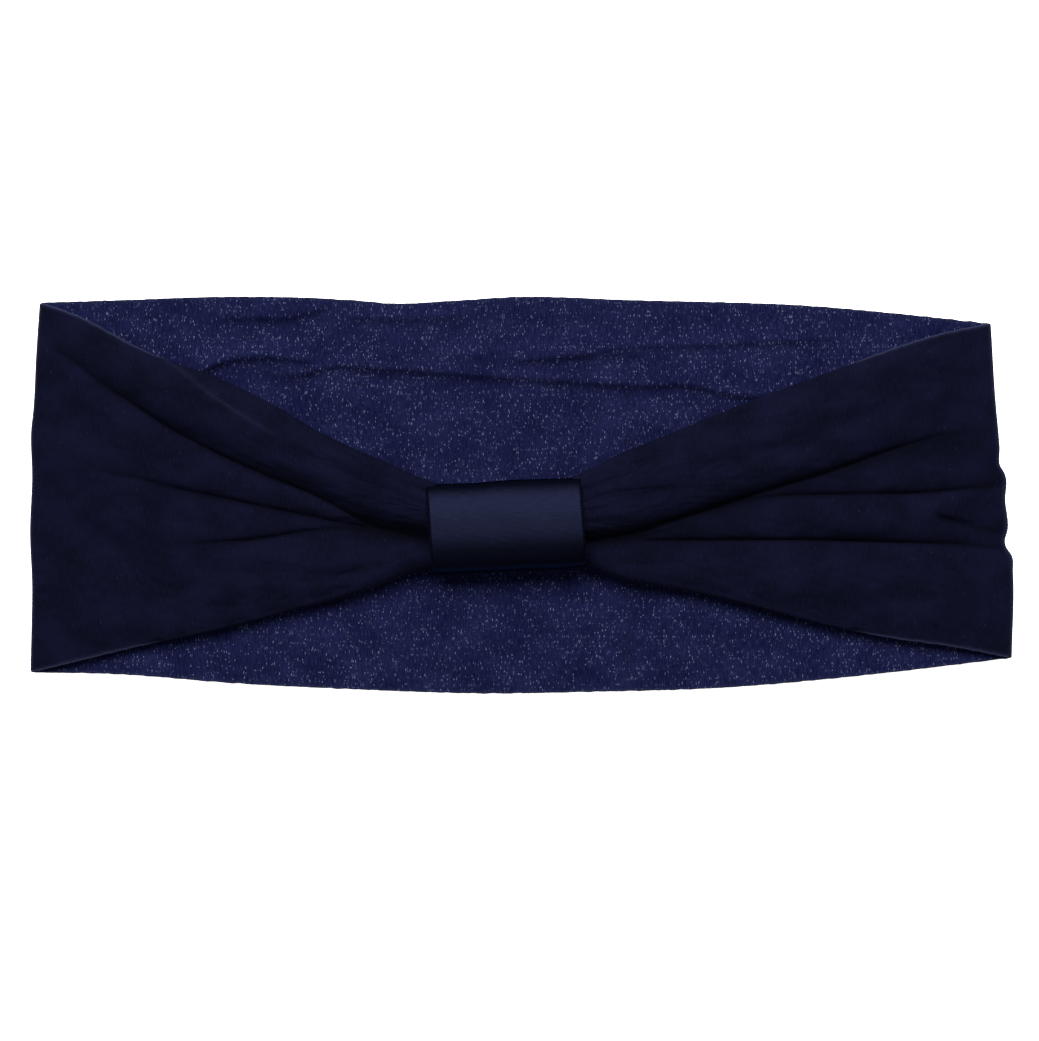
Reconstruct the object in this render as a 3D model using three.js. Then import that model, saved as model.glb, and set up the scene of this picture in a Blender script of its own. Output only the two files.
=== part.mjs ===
// A wide jersey headband, laid flat on its back panel. One strip of knit is sewn into a loop, its
// front is gathered with thread, and a satin ribbon is wrapped round the gathers and tacked behind.
//
// Frame, in millimetres: +X runs along the flattened loop from its left to its right side fold,
// +Y from the lower to the upper raw edge, and +Z up from the table to the gathered front.
// The origin is the middle of the flat footprint, at table height.
//
// The knit bends where the loop opens for a head, so it is made as stiff panels between bend lines.
// Every bend line runs along Y. The front ones stand over the back ones, mirrored about FOLD_Z,
// which lets the flat loop open into a ten-sided ring and close again. The panels end just short of
// the crease of each side fold, so that they can swing apart about it. The ring is cut through one
// panel of the back, whose two parts stay face to face as the others turn.
import * as THREE from "three";

// The loop
const HALF_LENGTH = 121; // from the middle to where the panels end at a side fold
const CLOTH = 0.8; // thickness of the jersey
const FOLD_Z = 1.5; // height of the side folds' crease
const GAP = 0.3; // between solids that touch on the real band

// Bend lines, as distances from the middle
const INNER_BEND = 26.5;
const OUTER_BEND = (INNER_BEND + HALF_LENGTH) / 2;
const MIDDLE_CUT = (INNER_BEND + OUTER_BEND) / 2; // where the ring of panels is cut, on the right of the back

// The butted seam that closes the strip, on the right inner bend line
const SEAM_THREAD = 0.5;
const SEAM_SWING = 0.45; // how far its zigzag reaches to each side
const SEAM_PITCH = 2.6;
const SEAM_HALF_GAP = SEAM_SWING + SEAM_THREAD / 2 + GAP;

// The satin ribbon and what it holds
const RIBBON_WIDTH = 38;
const RIBBON = 0.4; // thickness
const RIBBON_TURN = 3.5; // degrees that the wrap is twisted on the band
const KNOT = new THREE.Vector3(-3.6, -7.6, 7.4); // middle of the wrap
const WRAP_HALF_Y = 11; // centreline of the ribbon's loop
const WRAP_HALF_Z = 4.7;
const WRAP_POWER = 3; // 2 is an ellipse, more is squarer
const OVERLAP_START = 250; // degrees round the loop, seen along +X from the upper edge
const OVERLAP_END = 290;
const TACK_LENGTH = 4;
const TACK = 0.4;
const TACK_OFFSET = 11; // of each tack from the ribbon's middle
const GATHER_THREAD = 0.6;
const GATHER_TURNS = 3;
const GATHER_PITCH = 0.95;

// Raw edges of the back panel and outline of the gathered front, as [x, y] from fold to fold
const BACK_UPPER = [[-HALF_LENGTH, 47.6], [-71, 48.6], [0, 49], [71, 47], [HALF_LENGTH, 41.8]];
const BACK_LOWER = [[-HALF_LENGTH, -43.7], [-71, -46.6], [0, -49], [68, -45.9], [HALF_LENGTH, -40.3]];
const FRONT_UPPER = [[-HALF_LENGTH, 47.6], [-82, 30.5], [-INNER_BEND, 2.6], [INNER_BEND, 9.2],
  [65, 27], [HALF_LENGTH, 41.8]];
const FRONT_LOWER = [[-HALF_LENGTH, -43.7], [-71, -32], [-INNER_BEND, -18.9], [INNER_BEND, -21.2],
  [70, -30.5], [HALF_LENGTH, -40.3]];
// The side folds lean: their distance from the middle at the upper and at the lower corner
const LEFT_FOLD = { upper: 118.8, lower: HALF_LENGTH };
const RIGHT_FOLD = { upper: 116, lower: HALF_LENGTH };

// How the gathered front rises and thickens from a fold to the knot: the height of its middle
// surface as [distance from the middle, z], and its pleats where it meets the knot
const FRONT_RISE = [[INNER_BEND, 7.6], [OUTER_BEND, 6.7], [104, 6], [HALF_LENGTH, 2 * FOLD_Z - CLOTH / 2]];
const PLEATS = 3;
const PLEAT_HEIGHT = 2.5;
const PLEATED_THICKNESS = 2.4; // three layers of cloth

const JERSEY = { color: 0x191d3c, roughness: 0.9, metalness: 0 };
const SATIN = { color: 0x2a3156, roughness: 0.4, metalness: 0 };
const THREAD = { color: 0x14172e, roughness: 0.7, metalness: 0 };

const group = new THREE.Group();

// Adds a named part to the band.
function add(name, geometry, finish) {
  const mesh = new THREE.Mesh(geometry, new THREE.MeshStandardMaterial(finish));
  mesh.name = name;
  group.add(mesh);
  return mesh;
}

const lerp = THREE.MathUtils.lerp;

// Height of a smooth outline at x: each stretch between two points is a cubic that leaves a point
// along the line joining its neighbours.
function outlineAt(points, x) {
  const last = points.length - 1;
  const i = Math.max(1, Math.min(last, points.findIndex(([px]) => px >= x)));
  const slopeAt = (k) => {
    const [x0, y0] = points[Math.max(k - 1, 0)];
    const [x1, y1] = points[Math.min(k + 1, last)];
    return (y1 - y0) / (x1 - x0);
  };
  const [x0, y0] = points[i - 1];
  const [x1, y1] = points[i];
  const span = x1 - x0;
  const t = (x - x0) / span;
  const rise = (t * t) * (3 - 2 * t);
  const leaving = t * (1 - t) * (1 - t) * slopeAt(i - 1) * span;
  const arriving = t * t * (t - 1) * slopeAt(i) * span;
  return lerp(y0, y1, rise) + leaving + arriving;
}

// A closed solid between an upper and a lower surface. Each row is {upper, lower}, two lists of
// points across the sheet from its lower to its upper edge; the rows run towards +X.
function sheetSolid(rows) {
  const columns = rows[0].upper.length;
  const points = rows.flatMap((row) => [...row.upper, ...row.lower]);
  const upper = (i, j) => i * 2 * columns + j;
  const lower = (i, j) => upper(i, j) + columns;
  const faces = [];
  const quad = (a, b, c, d) => faces.push(a, b, c, a, c, d);
  for (let i = 0; i < rows.length - 1; i++) {
    for (let j = 0; j < columns - 1; j++) {
      quad(upper(i, j), upper(i + 1, j), upper(i + 1, j + 1), upper(i, j + 1));
      quad(lower(i, j), lower(i, j + 1), lower(i + 1, j + 1), lower(i + 1, j));
    }
    quad(upper(i, 0), lower(i, 0), lower(i + 1, 0), upper(i + 1, 0));
    const j = columns - 1;
    quad(upper(i, j), upper(i + 1, j), lower(i + 1, j), lower(i, j));
  }
  for (let j = 0; j < columns - 1; j++) {
    const i = rows.length - 1;
    quad(upper(0, j), upper(0, j + 1), lower(0, j + 1), lower(0, j));
    quad(upper(i, j), lower(i, j), lower(i, j + 1), upper(i, j + 1));
  }
  const geometry = new THREE.BufferGeometry().setFromPoints(points);
  geometry.setIndex(faces);
  geometry.computeVertexNormals();
  return geometry;
}

// Numbers from a to b in equal steps, with both ends.
function steps(a, b, count) {
  return Array.from({ length: count + 1 }, (_, i) => lerp(a, b, i / count));
}

// Where a row of a side panel meets height y: the whole row leans as much as the fold does, in
// proportion to how near the fold it is. side is -1 on the left and 1 on the right.
function leaningX(side, x, y) {
  const fold = side < 0 ? LEFT_FOLD : RIGHT_FOLD;
  const upperY = outlineAt(BACK_UPPER, side * HALF_LENGTH);
  const lowerY = outlineAt(BACK_LOWER, side * HALF_LENGTH);
  const foldX = lerp(fold.lower, fold.upper, (y - lowerY) / (upperY - lowerY));
  const nearness = Math.max(0, (Math.abs(x) - OUTER_BEND) / (HALF_LENGTH - OUTER_BEND));
  return x - side * nearness * (HALF_LENGTH - foldX);
}

// A flat panel of the back between two bend lines, or from one to a side fold.
function backPanel(fromX, toX) {
  const rows = steps(fromX, toX, 4).map((x) => {
    const line = (z) => steps(outlineAt(BACK_LOWER, x), outlineAt(BACK_UPPER, x), 6)
      .map((y) => new THREE.Vector3(leaningX(Math.sign(x), x, y), y, z));
    return { upper: line(CLOTH), lower: line(0) };
  });
  return sheetSolid(rows);
}

// A row of the gathered front at x: soft pleats, each a bulge between two creases, that die out
// towards the side fold.
function frontRow(side, x) {
  const share = (HALF_LENGTH - Math.abs(x)) / (HALF_LENGTH - INNER_BEND);
  const middle = outlineAt(FRONT_RISE, Math.abs(x));
  const half = lerp(CLOTH, PLEATED_THICKNESS, share) / 2;
  const line = (offset) => steps(0, 1, 8 * PLEATS).map((v) => {
    const y = lerp(outlineAt(FRONT_LOWER, x), outlineAt(FRONT_UPPER, x), v);
    const bulge = Math.abs(Math.sin(Math.PI * PLEATS * v)) - 0.5;
    return new THREE.Vector3(leaningX(side, x, y), y, middle + PLEAT_HEIGHT * share * bulge + offset);
  });
  return { upper: line(half), lower: line(-half) };
}

// A panel of the gathered front, from one distance from the middle to another.
function frontPanel(side, from, to) {
  const rows = steps(from, to, 8).map((distance) => frontRow(side, side * distance));
  return sheetSolid(side < 0 ? rows.reverse() : rows);
}

// A point on a squarish ring, angle in radians from the upper edge towards the front.
function ringPoint(halfY, halfZ, angle, power) {
  const c = Math.cos(angle);
  const s = Math.sin(angle);
  const r = (Math.abs(c) ** power + Math.abs(s) ** power) ** (-1 / power);
  return [halfY * r * c, halfZ * r * s];
}

// Half width, half depth and middle of the bunched cloth at x. It is thickest under the ribbon,
// nipped in by the gathering thread, and as wide as the front panels at its ends.
function coreSize(x) {
  const ribbonHalf = RIBBON_WIDTH / 2;
  const outside = Math.max(0, Math.abs(x - KNOT.x) - ribbonHalf);
  const room = x < KNOT.x ? INNER_BEND + KNOT.x - ribbonHalf : INNER_BEND - KNOT.x - ribbonHalf;
  const spread = THREE.MathUtils.smoothstep(outside / room, 0, 1);
  const end = Math.sign(x - KNOT.x) * INNER_BEND;
  const endUpper = outlineAt(FRONT_UPPER, end);
  const endLower = outlineAt(FRONT_LOWER, end);
  const lean = (x - KNOT.x) * Math.tan(THREE.MathUtils.degToRad(RIBBON_TURN));
  const threadHalf = GATHER_THREAD / 2 + (GATHER_TURNS * GATHER_PITCH) / 2 + GAP;
  const nip = Math.abs(x - KNOT.x) < threadHalf ? GATHER_THREAD + GAP : 0;
  return {
    halfY: lerp(WRAP_HALF_Y - 1, (endUpper - endLower) / 2, spread) - nip,
    halfZ: lerp(WRAP_HALF_Z - 1.4, 2.3, spread) - nip,
    y: lerp(KNOT.y + lean, (endUpper + endLower) / 2, spread),
    z: lerp(KNOT.z + 0.5, FRONT_RISE[0][1], spread),
  };
}

// The jersey bunched into the ribbon, with the grooves of its pleats along it.
function gatheredCore() {
  const threadHalf = GATHER_THREAD / 2 + (GATHER_TURNS * GATHER_PITCH) / 2 + GAP;
  const end = INNER_BEND - GAP / 2;
  const stations = [
    ...steps(-end, KNOT.x - threadHalf - 0.4, 5), ...steps(KNOT.x - threadHalf + 0.01, KNOT.x + threadHalf - 0.01, 2),
    ...steps(KNOT.x + threadHalf + 0.4, end, 7),
  ];
  const grooves = 9;
  const rows = stations.map((x) => {
    const size = coreSize(x);
    const at = (angle) => {
      const groove = 1 - 0.05 * (1 - Math.abs(Math.cos((grooves * angle) / 2)));
      const [y, z] = ringPoint(size.halfY * groove, size.halfZ * groove, angle, 2.4);
      return new THREE.Vector3(x, size.y + y, size.z + z);
    };
    const edge = 0.06; // keeps the two rims of the bundle open
    return {
      upper: steps(Math.PI - edge, edge, 27).map(at),
      lower: steps(Math.PI + edge, 2 * Math.PI - edge, 27).map(at),
    };
  });
  return sheetSolid(rows);
}

// The ribbon's loop as one strip whose last stretch lies outside its first, seen along +X.
function ribbonWrap() {
  const start = THREE.MathUtils.degToRad(OVERLAP_START);
  const end = THREE.MathUtils.degToRad(OVERLAP_END + 360);
  const lift = RIBBON + GAP;
  const easing = THREE.MathUtils.degToRad(50); // the stretch over which the strip steps outwards
  const path = steps(start, end, 68).map((angle) => {
    const out = lift * THREE.MathUtils.smoothstep(angle, end - (end - start - 2 * Math.PI) - easing,
      start + 2 * Math.PI - 0.02);
    const [y, z] = ringPoint(WRAP_HALF_Y, WRAP_HALF_Z, angle, WRAP_POWER);
    const [ny, nz] = ringPoint(WRAP_HALF_Y + 1, WRAP_HALF_Z + 1, angle, WRAP_POWER);
    const away = new THREE.Vector2(ny - y, nz - z).normalize();
    return { middle: new THREE.Vector2(y, z).addScaledVector(away, out), away };
  });
  const side = (offset) => path.map(({ middle, away }) => middle.clone().addScaledVector(away, offset));
  const outline = [...side(RIBBON / 2), ...side(-RIBBON / 2).reverse()];
  const geometry = new THREE.ExtrudeGeometry(new THREE.Shape(outline), { depth: RIBBON_WIDTH, bevelEnabled: false });
  geometry.translate(0, 0, -RIBBON_WIDTH / 2);
  // The shape's x and y become Y and Z, and the extrusion runs along X.
  geometry.applyMatrix4(new THREE.Matrix4().makeBasis(
    new THREE.Vector3(0, 1, 0), new THREE.Vector3(0, 0, 1), new THREE.Vector3(1, 0, 0)));
  return geometry;
}

// A short bar of thread over the ribbon's free end, on the side that faces the back panel.
function tack() {
  const shape = new THREE.Shape();
  shape.absarc(0, 0, TACK / 2, 0, 2 * Math.PI);
  const path = new THREE.LineCurve3(
    new THREE.Vector3(0, -TACK_LENGTH / 2, 0), new THREE.Vector3(0, TACK_LENGTH / 2, 0));
  return new THREE.ExtrudeGeometry(shape, { extrudePath: path, steps: 1, curveSegments: 4 });
}

// Thread wound round the bunched cloth in its nipped waist.
function gatheringThread() {
  class Winding extends THREE.Curve {
    getPoint(t) {
      const size = coreSize(KNOT.x);
      const angle = 2 * Math.PI * GATHER_TURNS * t;
      const [y, z] = ringPoint(size.halfY + GAP + GATHER_THREAD / 2, size.halfZ + GAP + GATHER_THREAD / 2,
        angle, 2.4);
      const x = KNOT.x + GATHER_PITCH * GATHER_TURNS * (t - 0.5);
      return new THREE.Vector3(x, size.y + y, size.z + z);
    }
  }
  const section = new THREE.Shape();
  section.absarc(0, 0, GATHER_THREAD / 2, 0, 2 * Math.PI);
  return new THREE.ExtrudeGeometry(section, { extrudePath: new Winding(), steps: 72, curveSegments: 3 });
}

// The zigzag thread that joins the strip's two butted ends, lying between them.
function seamThread() {
  const lowest = outlineAt(BACK_LOWER, INNER_BEND) + 1;
  const highest = outlineAt(BACK_UPPER, INNER_BEND) - 1;
  const count = Math.round((highest - lowest) / SEAM_PITCH) * 2;
  const rows = steps(0, 1, count).map((t, i) => ({
    y: lerp(lowest, highest, t), x: INNER_BEND + (i % 2 ? SEAM_SWING : -SEAM_SWING) }));
  const half = SEAM_THREAD / 2;
  const outline = [
    ...rows.map(({ x, y }) => new THREE.Vector2(x + half, y)),
    ...rows.toReversed().map(({ x, y }) => new THREE.Vector2(x - half, y)),
  ];
  const geometry = new THREE.ExtrudeGeometry(new THREE.Shape(outline), { depth: SEAM_THREAD, bevelEnabled: false });
  return geometry.translate(0, 0, (CLOTH - SEAM_THREAD) / 2);
}

// Back panel
const half = GAP / 2;
add("band_back_centre", backPanel(-INNER_BEND + half, INNER_BEND - SEAM_HALF_GAP), JERSEY);
add("band_back_left_inner", backPanel(-OUTER_BEND + half, -INNER_BEND - half), JERSEY);
add("band_back_right_inner", backPanel(INNER_BEND + SEAM_HALF_GAP, MIDDLE_CUT - half), JERSEY);
add("band_back_right_middle", backPanel(MIDDLE_CUT + half, OUTER_BEND - half), JERSEY);
add("band_back_left_outer", backPanel(-HALF_LENGTH, -OUTER_BEND - half), JERSEY);
add("band_back_right_outer", backPanel(OUTER_BEND + half, HALF_LENGTH), JERSEY);
add("band_seam_thread", seamThread(), THREAD);

// Gathered front
for (const [side, word] of [[-1, "left"], [1, "right"]]) {
  add(`band_front_${word}_outer`, frontPanel(side, OUTER_BEND + half, HALF_LENGTH), JERSEY);
  add(`band_front_${word}_inner`, frontPanel(side, INNER_BEND + half, OUTER_BEND - half), JERSEY);
}

// Knot
add("gathered_core", gatheredCore(), JERSEY);
add("gathering_thread", gatheringThread(), THREAD);
const wrap = new THREE.Group();
wrap.position.copy(KNOT);
wrap.rotation.z = THREE.MathUtils.degToRad(RIBBON_TURN);
group.add(wrap);
wrap.add(add("ribbon_wrap", ribbonWrap(), SATIN));
const tackZ = -WRAP_HALF_Z - (RIBBON + GAP) - RIBBON / 2 - GAP - TACK / 2;
for (const [side, word] of [[-1, "left"], [1, "right"]]) {
  const bar = add(`ribbon_tack_${word}`, tack(), THREAD);
  bar.position.set(side * TACK_OFFSET, 0, tackZ);
  wrap.add(bar);
}

export default group;
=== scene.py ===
"""Builds a gathered jersey headband that lies flat, with a satin ribbon wrapped round its middle.

Every length in the classes is in millimetres, in the frame of the part: +X runs along the flat band,
+Y from its lower to its upper raw edge, and +Z up from the table. Meshes are made in metres.
"""

import logging
import math
from collections.abc import Sequence
from dataclasses import dataclass, field
from enum import Enum

import bpy
import numpy as np
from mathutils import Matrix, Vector


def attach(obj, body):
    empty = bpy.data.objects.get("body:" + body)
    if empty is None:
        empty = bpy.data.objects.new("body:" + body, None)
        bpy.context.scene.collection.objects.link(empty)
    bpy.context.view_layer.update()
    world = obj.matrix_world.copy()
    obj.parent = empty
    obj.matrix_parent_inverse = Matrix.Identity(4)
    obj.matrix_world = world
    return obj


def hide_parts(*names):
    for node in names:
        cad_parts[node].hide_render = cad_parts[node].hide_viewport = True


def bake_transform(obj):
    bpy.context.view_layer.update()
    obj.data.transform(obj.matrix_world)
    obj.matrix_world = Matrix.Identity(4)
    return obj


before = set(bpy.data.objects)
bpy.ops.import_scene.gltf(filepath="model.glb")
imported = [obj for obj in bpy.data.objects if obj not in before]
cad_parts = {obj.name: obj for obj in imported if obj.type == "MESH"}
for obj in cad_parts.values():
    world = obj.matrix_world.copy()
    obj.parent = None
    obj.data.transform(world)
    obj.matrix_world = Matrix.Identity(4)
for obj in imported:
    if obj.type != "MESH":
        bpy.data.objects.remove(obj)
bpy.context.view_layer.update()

log = logging.getLogger("headband")

Array = np.ndarray
Points = tuple[tuple[float, float], ...]
MM = 0.001
UV_LENGTH = 100.0  # millimetres of cloth to one unit of a UV map


class Held(Enum):
    """How a piece of cloth is held."""

    LAID = "laid"
    FOLDED = "folded"
    GATHERED = "gathered"


class Side(Enum):
    """A face of the knit."""

    RIGHT = 0
    WRONG = 1


# Lines and waves


def smooth(t: Array | float) -> Array:
    """Eases from 0 to 1.

    Args:
        t: the way travelled, where 0 and less gives 0, and 1 and more gives 1.

    Returns:
        The eased way.
    """
    t = np.clip(t, 0.0, 1.0)
    return t * t * (3.0 - 2.0 * t)


def mix(a: Array | float, b: Array | float, t: Array | float) -> Array:
    """Goes from a, at t = 0, to b, at t = 1."""
    return a + (b - a) * t


@dataclass(frozen=True)
class Line:
    """A smooth line through points, whose first numbers rise."""

    points: Points

    def _spans(self, x: Array) -> tuple[Array, ...]:
        """Finds the cubic that holds each x.

        Args:
            x: places along the line.

        Returns:
            For each place: the way through its span, the span's length, its two heights and slopes.
        """
        px, py = np.array(self.points, float).T
        slopes = np.gradient(py, px)
        i = np.clip(np.searchsorted(px, x) - 1, 0, len(px) - 2)
        span = px[i + 1] - px[i]
        t = np.clip((x - px[i]) / span, 0.0, 1.0)
        return t, span, py[i], py[i + 1], slopes[i], slopes[i + 1]

    def __call__(self, x: Array) -> Array:
        """Gives the line's height, and its end heights beyond its ends.

        Args:
            x: places along the line.

        Returns:
            Its height at each.
        """
        t, span, y0, y1, m0, m1 = self._spans(np.asarray(x, float))
        ends = y0 + (y1 - y0) * t * t * (3 - 2 * t)
        return ends + span * t * (1 - t) * (m0 * (1 - t) - m1 * t)

    def slope(self, x: Array) -> Array:
        """Gives the line's slope.

        Args:
            x: places along the line.

        Returns:
            Its slope at each.
        """
        t, span, y0, y1, m0, m1 = self._spans(np.asarray(x, float))
        rise = 6 * t * (1 - t) * (y1 - y0) / span
        return rise + m0 * (1 - t) * (1 - 3 * t) - m1 * t * (2 - 3 * t)

    @property
    def ends(self) -> tuple[float, float]:
        """The first and last x."""
        return self.points[0][0], self.points[-1][0]


@dataclass(frozen=True)
class Ripple:
    """Small waves that never quite repeat, as the sum of sine waves of many lengths."""

    height: float
    along: tuple[float, float]  # the shortest and the longest wave along X
    across: tuple[float, float]  # and along Y
    seed: int
    count: int = 28

    def __call__(self, x: Array, y: Array | float) -> Array:
        """Gives the wave's height.

        Args:
            x: places along the band.
            y: places across it.

        Returns:
            Heights of about the ripple's height at most.
        """
        draw = np.random.default_rng(self.seed)
        total = np.zeros(np.broadcast(x, y).shape)
        for _ in range(self.count):
            kx = 2 * math.pi / draw.uniform(*self.along) * draw.choice((-1.0, 1.0))
            ky = 2 * math.pi / draw.uniform(*self.across)
            total += np.sin(kx * x + ky * y + draw.uniform(0, 2 * math.pi))
        return total * self.height / math.sqrt(self.count)


@dataclass(frozen=True)
class Crease:
    """A sharp valley that gathering presses into the front, from near a side fold to the ribbon."""

    path: Points
    depth: float
    upper: float = 2.4  # how far the cloth above it leans in
    lower: float = 5.0  # and below it
    rise: float = 40.0  # how far it runs before it is fully deep
    start: float = 0.0  # its share of the depth at the outer end
    outer: int = -1  # the side that its outer end is on
    softness: float = 0.35
    slit: float = 1.3  # how much deeper its sharp bottom is
    slit_width: float = 0.55
    shadow_reach: tuple[float, float] = (2.0, 0.55)  # how far the fold's painted shadow reaches above and below it
    fade: float = 8.0  # how far from its outer end the painted shadow is at full strength

    def press(self, x: Array, y: Array) -> tuple[Array, Array]:
        """Presses the cloth in.

        Args:
            x: places along the band.
            y: places across it.

        Returns:
            How far the cloth is pressed in at each place, and how much painted shade the fold gets there.
        """
        line = Line(self.path)
        away = (y - line(x)) / np.hypot(1.0, line.slope(x))
        width = np.where(away > 0, self.upper, self.lower)
        outer_end, inner_end = line.ends if self.outer < 0 else line.ends[::-1]
        run = (outer_end - x) * self.outer
        growth = mix(self.start, 1.0, smooth(run / self.rise))
        if self.start == 0:
            growth = np.where(run > 0, growth, 0.0)
        growth = growth * smooth((x - inner_end) * self.outer / 6.0)
        valley = np.exp(-(np.hypot(away, self.softness) - self.softness) / width)
        slit = np.exp(-((away - 0.3 * self.slit_width) / self.slit_width) ** 2)
        # painted shade along the crease, strongest at its line
        shade = np.exp(-np.abs(away) / np.where(away > 0, *self.shadow_reach)) * smooth(run / self.fade)
        shade = shade * smooth((x - inner_end) * self.outer / 6.0)
        return growth * (self.depth * valley + self.slit * slit), shade


@dataclass(frozen=True)
class Wrinkle:
    """A low ridge in the back panel with one steep face, towards the lower edge."""

    path: Points
    height: float
    gentle: float = 4.5
    steep: float = 0.95
    fade: float = 8.0  # how far from each end it reaches its height
    softness: float = 0.35

    def lift(self, x: Array, y: Array) -> Array:
        """Lifts the cloth.

        Args:
            x: places along the band.
            y: places across it.

        Returns:
            How far the cloth is lifted at each place.
        """
        line = Line(self.path)
        away = (y - line(x)) / np.hypot(1.0, line.slope(x))
        width = np.where(away > 0, self.gentle, self.steep)
        first, last = line.ends
        growth = smooth((x - first) / self.fade) * smooth((last - x) / self.fade)
        return self.height * growth * np.exp(-(np.hypot(away, self.softness) - self.softness) / width)


# Meshes


def make_mesh(name: str, vertices: Array, faces: Sequence[Sequence[int]]) -> bpy.types.Object:
    """Makes a piece from points in millimetres.

    Args:
        name: the piece's name.
        vertices: one row of three numbers for each point.
        faces: point numbers of each face.

    Returns:
        The new object, at the origin.
    """
    mesh = bpy.data.meshes.new(name)
    mesh.from_pydata((np.asarray(vertices) * MM).tolist(), [], [list(map(int, f)) for f in faces])
    mesh.update()
    piece = bpy.data.objects.new(name, mesh)
    bpy.context.scene.collection.objects.link(piece)
    return piece


def shade_smooth(mesh: bpy.types.Mesh) -> None:
    """Makes all of a mesh's faces smooth."""
    mesh.polygons.foreach_set("use_smooth", np.ones(len(mesh.polygons), bool))


def corner_points(mesh: bpy.types.Mesh) -> Array:
    """Gives the point number at each corner of a mesh's faces."""
    corners = np.zeros(len(mesh.loops), np.int32)
    mesh.loops.foreach_get("vertex_index", corners)
    return corners


def write_uv(mesh: bpy.types.Mesh, u: Array, v: Array) -> None:
    """Gives a mesh a UV map.

    Args:
        mesh: the mesh.
        u: millimetres of cloth along the map's first direction, at each point.
        v: and along its second.
    """
    layer = mesh.uv_layers.new(name="UVMap")
    uv = np.stack([u, v], -1).reshape(-1, 2) / UV_LENGTH
    layer.data.foreach_set("uv", uv[corner_points(mesh)].reshape(-1).astype(np.float32))


def wall_faces(rows: int, around: int) -> Array:
    """Joins rows of points, each a closed ring, into the wall of a tube.

    Args:
        rows: how many rings there are.
        around: points in a ring.

    Returns:
        The four point numbers of each face.
    """
    i = np.arange(rows - 1)[:, None] * around
    k = np.arange(around)[None, :]
    after = (k + 1) % around
    return np.stack([i + k, i + around + k, i + around + after, i + after], -1).reshape(-1, 4)


def unit(v: Array) -> Array:
    """Makes each vector one long."""
    return v / np.maximum(np.linalg.norm(v, axis=-1, keepdims=True), 1e-12)


def grid_normals(points: Array, ring: bool) -> Array:
    """Works out normals of a grid of points that runs round in its first direction.

    Args:
        points: rows of columns of points.
        ring: whether the columns close on themselves too.

    Returns:
        A unit normal for each point, along the cross product of the two directions.
    """
    along = np.roll(points, -1, axis=0) - np.roll(points, 1, axis=0)
    if ring:
        across = np.roll(points, -1, axis=1) - np.roll(points, 1, axis=1)
    else:
        across = np.gradient(points, axis=1)
    return unit(np.cross(along, across))


# The knit loop


@dataclass(frozen=True)
class Fold:
    """A side fold of the flat loop, where the cloth turns from the back panel to the front."""

    side: int
    line: Points  # (y, how far the crease is from the middle), from the lower corner up

    def lean(self, y: Array, reach: float) -> Array:
        """Gives how far the fold falls short of its reach at each y, towards the middle."""
        return self.side * (Line(self.line)(y) - reach)


@dataclass(frozen=True)
class BackPanel:
    """The panel that lies on the table, wrong side up."""

    upper: Line = Line((
        (-121.8, 47.6), (-101, 48.2), (-75, 49), (-42, 48.2), (-31, 47.3), (-20, 47.8), (-1.5, 49),
        (28, 48.2), (68, 47), (98, 44.7), (121.8, 42.4)))
    lower: Line = Line((
        (-121.8, -43.8), (-101, -44.2), (-71, -46.5), (-41, -48), (-10, -49), (18, -48.6), (48, -47.7),
        (88, -44.2), (121.8, -40.2)))
    wrinkles: tuple[Wrinkle, ...] = (
        Wrinkle(((-84, 28.8), (-80, 30.6), (-75, 33), (-66, 34.6), (-50, 33.2)), 2.1, gentle=3.5, fade=5),
        Wrinkle(((-66, 31), (-54.4, 30.3), (-46.2, 32.3), (-33.8, 31.7), (-9.2, 29.9), (15.4, 28.3),
                 (31.8, 27.5), (40, 27.8), (52.4, 25.4), (66, 24.2)), 1.75, fade=12),
        Wrinkle(((-12, 33.2), (11.2, 34.6), (26.1, 37), (40, 37.4), (60.6, 38.3), (84, 39.4)), 1.3, fade=14),
        Wrinkle(((-76, 44.9), (-66, 44.3), (-58.6, 44.4), (-46, 47.6)), 1.5, fade=5),
        Wrinkle(((-45, 44.3), (-33.8, 44), (-12, 45)), 1.4, gentle=3, steep=1.4, fade=6),
        Wrinkle(((-40, 34.4), (-21.4, 34.9), (-2, 34)), 0.8, fade=8),
        Wrinkle(((-2, 33.6), (12, 34.5), (32, 35.6)), 0.7, fade=6),
        Wrinkle(((-112, -41.4), (-104, -41), (-94, -42.4)), 0.9, gentle=2.5, fade=5),
    )
    rolling: Ripple = Ripple(0.3, along=(18, 70), across=(16, 60), seed=11)
    crinkle: Ripple = Ripple(0.05, along=(5, 16), across=(2.5, 7), seed=12, count=40)

    def lift(self, x: Array, y: Array) -> Array:
        """Lays the cloth on the table.

        Args:
            x: places along the band.
            y: places across it.

        Returns:
            How far the cloth stands off the table at each place.
        """
        total = np.abs(self.rolling(x, y)) + self.crinkle(x, y)
        for wrinkle in self.wrinkles:
            total = total + wrinkle.lift(x, y)
        return np.maximum(total, 0.0)


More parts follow.
